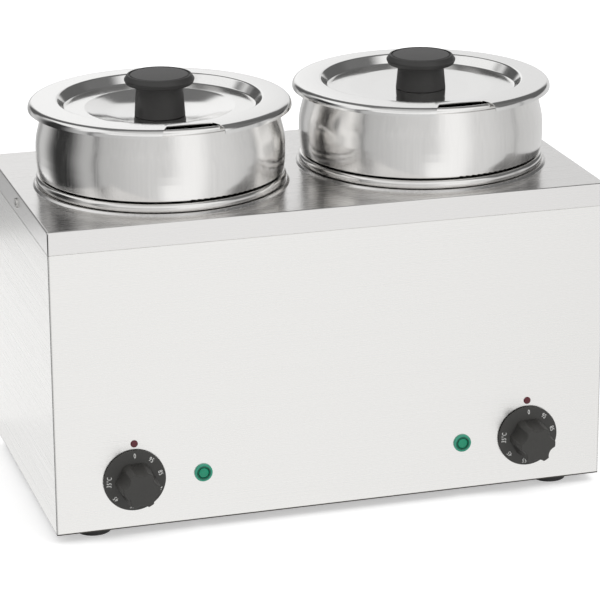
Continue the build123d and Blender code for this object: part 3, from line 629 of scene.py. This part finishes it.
def make_lamp_lens(side):
    """Domed green lens in a darker ring, inside the lamp's bezel."""
    outer, inner, foot = (BEZEL_HEIGHT + rise for rise in RING_RISES)
    dome = rounded([(0, 0), (LENS_RADIUS, 0), (LENS_RADIUS, BEZEL_HEIGHT), (0, LENS_HEIGHT)], LENS_ROUNDS)
    lip = rounded([(LENS_RADIUS, 0), (RING_RADIUS, 0), (RING_RADIUS, outer),
                   (LENS_RADIUS + RING_BEVEL, inner), (LENS_RADIUS, foot)], RING_ROUNDS)
    lens = turned(f"lamp_dome_{side}", dome, (0, 0), LAMP_SIDES)
    ring = turned(f"lamp_ring_{side}", lip, (0, 0), LAMP_SIDES)
    for piece, look in ((lens, "lamp_lens_green"), (ring, "lamp_ring_green")):
        face_front(piece, front_axis(f"pilot_lamp_lens_{side}"))
        sharpen(piece, CONTROL_SMOOTH)
        coat(piece, look)
        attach(piece, "casing")
        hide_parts(f"pilot_lamp_lens_{side}")


def make_base_shadow_strip():
    """Dark strip under the casing: painted shadow of the gap beneath the object, not a real edge of the base.
    """
    low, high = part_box("casing_wrap")
    middle = ((low[0] + high[0]) / 2, (low[1] + high[1]) / 2)
    wide = (high[0] - low[0]) / 2 / MM - SHADOW_STRIP_INSET
    deep = (high[1] - low[1]) / 2 / MM - SHADOW_STRIP_INSET
    plan = [(-wide, -deep), (wide, -deep), (wide, deep), (-wide, deep)]
    edge = prism("base_shadow_strip", plan, middle, low[2] / MM - SHADOW_STRIP_HEIGHT, low[2] / MM)
    flat_faces(edge)
    coat(edge, "painted_base_shadow")
    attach(edge, "casing")


# Floor, card and lamp, in metres

FLOOR_SIZE = 40
FLOOR_HEIGHT = -0.0002
FLOOR_COLOUR = (0.88, 0.88, 0.88, 1)
FLOOR_ROUGHNESS = 0.9
FLOOR_GLOW = 0.45
WHITE = (1, 1, 1, 1)
BLACK = (0, 0, 0, 1)

CARD_PLACE = (-0.43, 0.50, -0.0001)
CARD_SIZE = (0.36, 0.6)
CARD_LEVEL = 0.95

KEY_PLACE = (0.9, -1.6, 2.2)
KEY_TARGET = (0, 0, 0.2)
KEY_SIZE = 1.2
KEY_POWER = 12


def plane(name, centre, size):
    """Level rectangle round a centre, facing up."""
    middle = Vector(centre)
    across = Vector((size[0] / 2, 0, 0))
    away = Vector((0, size[1] / 2, 0))
    corners = [middle - across - away, middle + across - away, middle + across + away, middle - across + away]
    mesh = bpy.data.meshes.new(name)
    mesh.from_pydata(corners, [], [(0, 1, 2, 3)])
    piece = bpy.data.objects.new(name, mesh)
    bpy.context.scene.collection.objects.link(piece)
    return piece


def make_floor():
    """Pale floor: the camera sees it as white outside the object's shadow."""
    floor = plane("floor", (0, 0, FLOOR_HEIGHT), (FLOOR_SIZE, FLOOR_SIZE))
    material, shader = new_material("floor_white")
    shader.inputs["Base Color"].default_value = FLOOR_COLOUR
    shader.inputs["Roughness"].default_value = FLOOR_ROUGHNESS
    shader.inputs["Specular IOR Level"].default_value = 0.0
    shader.inputs["Emission Color"].default_value = WHITE
    rays = add_node(material, "ShaderNodeLightPath")
    glow = math_node(material, "MULTIPLY", rays.outputs["Is Camera Ray"], FLOOR_GLOW)
    link(material, glow, shader.inputs["Emission Strength"])
    floor.data.materials.append(material)
    # The studio reaches below the horizon in reflections, so the metal shows it instead of the floor
    floor.visible_glossy = False


def make_side_card():
    """Bright card on the floor beside the object, seen only in its metal."""
    card = plane("side_card", CARD_PLACE, CARD_SIZE)
    material, shader = new_material("card_white")
    shader.inputs["Base Color"].default_value = BLACK
    shader.inputs["Emission Color"].default_value = WHITE
    shader.inputs["Emission Strength"].default_value = CARD_LEVEL
    card.data.materials.append(material)
    card.visible_camera = False
    card.visible_diffuse = False
    card.visible_shadow = False


def make_key_lamp():
    """Soft round lamp that doesn't show in the metal."""
    data = bpy.data.lights.new("key", "AREA")
    data.shape = "DISK"
    data.size = KEY_SIZE
    data.energy = KEY_POWER
    lamp = bpy.data.objects.new("key", data)
    lamp.location = KEY_PLACE
    lamp.rotation_euler = (Vector(KEY_TARGET) - Vector(KEY_PLACE)).to_track_quat("-Z", "Y").to_euler()
    lamp.visible_glossy = False
    bpy.context.scene.collection.objects.link(lamp)


# Studio seen in the metal: degrees round from the camera's side, to its right positive

CAMERA_SIDE = 16.5
WALL = [(-180, 0.62), (-60, 0.48), (0, 0.66), (60, 0.70), (90, 0.58), (180, 0.72)]
# Middle, half width, soft edge, lowest and highest elevation and level of what stands round the object
STANDING = {
    "strip_light": (30, 5, 19, -90, 20, 0.97),
    "black_flag": (-101, 7, 26, -90, 30, 0.03),
    "left_stand": (-59, 1, 4, -90, 20, 0.22),
    "right_stand": (98, 1, 3, -90, 20, 0.42),
    "back_left_flag": (-151, 3, 7, -19, 20, 0.36),
    "left_floor": (-147, 16, 14, -90, -21, 0.97),
    "front_floor": (20, 10, 14, -90, -20, 0.98),
    "dark_corner_left": (-146, 7, 8, 8, 50, 0.10),
    "dark_corner_right": (136, 16, 12, 9, 50, 0.12),
}
STANDING_SOFT = 6.0
# Direction, inner and outer angle and level of each round light in the sky
LIGHTS = {
    "soft_light": ((-0.1, -0.9, 0.42), 46, 60, 0.95),
    "ceiling_light": ((-0.42, -0.40, 0.82), 20, 30, 0.80),
    "left_light": ((-0.76, 0.30, 0.57), 26, 36, 0.92),
    "top_light": ((-0.05, -0.05, 1.0), 14, 24, 0.55),
}
DIM_SKY = 0.16
SKY_START = (14, 24)
# Bright wall behind the object: its levels on the left and right, and where it starts and ends
BACKDROP = (0.97, 0.80)
BACKDROP_SIDE = (152, 166)
BACKDROP_TOP = (30, 26)
BACKDROP_FOOT = (0, 6)
BACKDROP_MIX = (-0.1, 0.1)
# What matt surfaces and the camera get from the room
ROOM_LEVEL = 0.85
BACKGROUND_LEVEL = 1.0


def feed(owner, value, socket):
    """Give an input socket a number, or connect it to an output socket."""
    if isinstance(value, (int, float)):
        socket.default_value = value
    else:
        link(owner, value, socket)


def math_node(owner, operation, *values):
    """Result of one operation on numbers or sockets."""
    node = add_node(owner, "ShaderNodeMath")
    node.operation = operation
    for value, socket in zip(values, node.inputs):
        feed(owner, value, socket)
    return node.outputs[0]


def smooth_step(owner, value, start, end):
    """Smooth rise from 0 at start to 1 at end."""
    node = add_node(owner, "ShaderNodeMapRange", **{"From Min": start, "From Max": end})
    node.interpolation_type = "SMOOTHSTEP"
    link(owner, value, node.inputs["Value"])
    return node.outputs["Result"]


def window(owner, value, middle, half, soft):
    """1 within half of the middle, falling to 0 over the soft edge."""
    off = math_node(owner, "ABSOLUTE", math_node(owner, "SUBTRACT", value, middle))
    return smooth_step(owner, off, half + soft, half)


def lay(owner, below, above, mask):
    """A grey level laid over another where the mask is 1."""
    node = add_node(owner, "ShaderNodeMix")
    for name, value in (("Factor", mask), ("A", below), ("B", above)):
        feed(owner, value, node.inputs[name])
    return node.outputs["Result"]


def studio_angles(world):
    """Direction seen, its part to the camera's right, and its angles round and up in degrees."""
    coordinate = add_node(world, "ShaderNodeTexCoord")
    direction = coordinate.outputs["Generated"]
    mapped = add_node(world, "ShaderNodeMapping", Rotation=(0, 0, math.radians(CAMERA_SIDE)))
    link(world, direction, mapped.inputs["Vector"])
    axes = add_node(world, "ShaderNodeSeparateXYZ")
    link(world, mapped.outputs["Vector"], axes.inputs[0])
    toward = math_node(world, "MULTIPLY", axes.outputs["Y"], -1.0)
    azimuth = math_node(world, "DEGREES", math_node(world, "ARCTAN2", axes.outputs["X"], toward))
    elevation = math_node(world, "DEGREES", math_node(world, "ARCSINE", axes.outputs["Z"]))
    return direction, axes.outputs["X"], azimuth, elevation


def wall_level(world, azimuth):
    """Level of the studio's wall, which changes slowly round the object."""
    walls = add_node(world, "ShaderNodeValToRGB")
    walls.color_ramp.interpolation = "EASE"
    while len(walls.color_ramp.elements) < len(WALL):
        walls.color_ramp.elements.new(0.5)
    for element, (angle, level) in zip(walls.color_ramp.elements, WALL):
        element.position = angle / 360 + 0.5
        element.color = (level, level, level, 1)
    turn = math_node(world, "ADD", math_node(world, "DIVIDE", azimuth, 360.0), 0.5)
    link(world, turn, walls.inputs["Fac"])
    return walls.outputs["Color"]


def sky_level(world, direction):
    """Level of the sky with its round lights."""
    sky = DIM_SKY
    for toward_light, inner, outer, level in LIGHTS.values():
        near = add_node(world, "ShaderNodeVectorMath")
        near.operation = "DOT_PRODUCT"
        near.inputs[1].default_value = Vector(toward_light).normalized()
        link(world, direction, near.inputs[0])
        edges = (math.cos(math.radians(angle)) for angle in (outer, inner))
        sky = lay(world, sky, level, smooth_step(world, near.outputs["Value"], *edges))
    return sky


def make_world():
    """Soft white room for matt surfaces, and a studio of lights and flags for the metal."""
    world = bpy.data.worlds.new("studio")
    world.use_nodes = True
    direction, rightward, azimuth, elevation = studio_angles(world)
    studio = lay(world, wall_level(world, azimuth), sky_level(world, direction),
                 smooth_step(world, elevation, *SKY_START))
    for middle, half, soft, low, high, level in STANDING.values():
        mask = window(world, azimuth, middle, half, soft)
        rise = window(world, elevation, (low + high) / 2, (high - low) / 2, STANDING_SOFT)
        studio = lay(world, studio, level, math_node(world, "MULTIPLY", mask, rise))

    behind = smooth_step(world, math_node(world, "ABSOLUTE", azimuth), *BACKDROP_SIDE)
    upright = math_node(world, "MULTIPLY", smooth_step(world, elevation, *BACKDROP_TOP),
                        smooth_step(world, elevation, *BACKDROP_FOOT))
    backdrop = lay(world, *BACKDROP, smooth_step(world, rightward, *BACKDROP_MIX))
    studio = lay(world, studio, backdrop, math_node(world, "MULTIPLY", behind, upright))

    rays = add_node(world, "ShaderNodeLightPath")
    seen = lay(world, ROOM_LEVEL, studio, rays.outputs["Is Glossy Ray"])
    seen = lay(world, seen, BACKGROUND_LEVEL, rays.outputs["Is Camera Ray"])
    link(world, seen, world.node_tree.nodes["Background"].inputs["Color"])
    bpy.context.scene.world = world


def make_stage():
    """Room, floor, card and lamp round the object."""
    make_world()
    make_floor()
    make_side_card()
    make_key_lamp()


make_camera()
dress_cad_nodes()
for side_name in SIDES:
    make_lid(side_name)
    make_lid_knob(side_name)
    make_lid_screw(side_name)
    make_control_knob(side_name)
    make_scale(side_name)
    make_lamp_lens(side_name)
make_base_shadow_strip()
make_stage()

bpy.context.scene.view_settings.view_transform = "Standard"
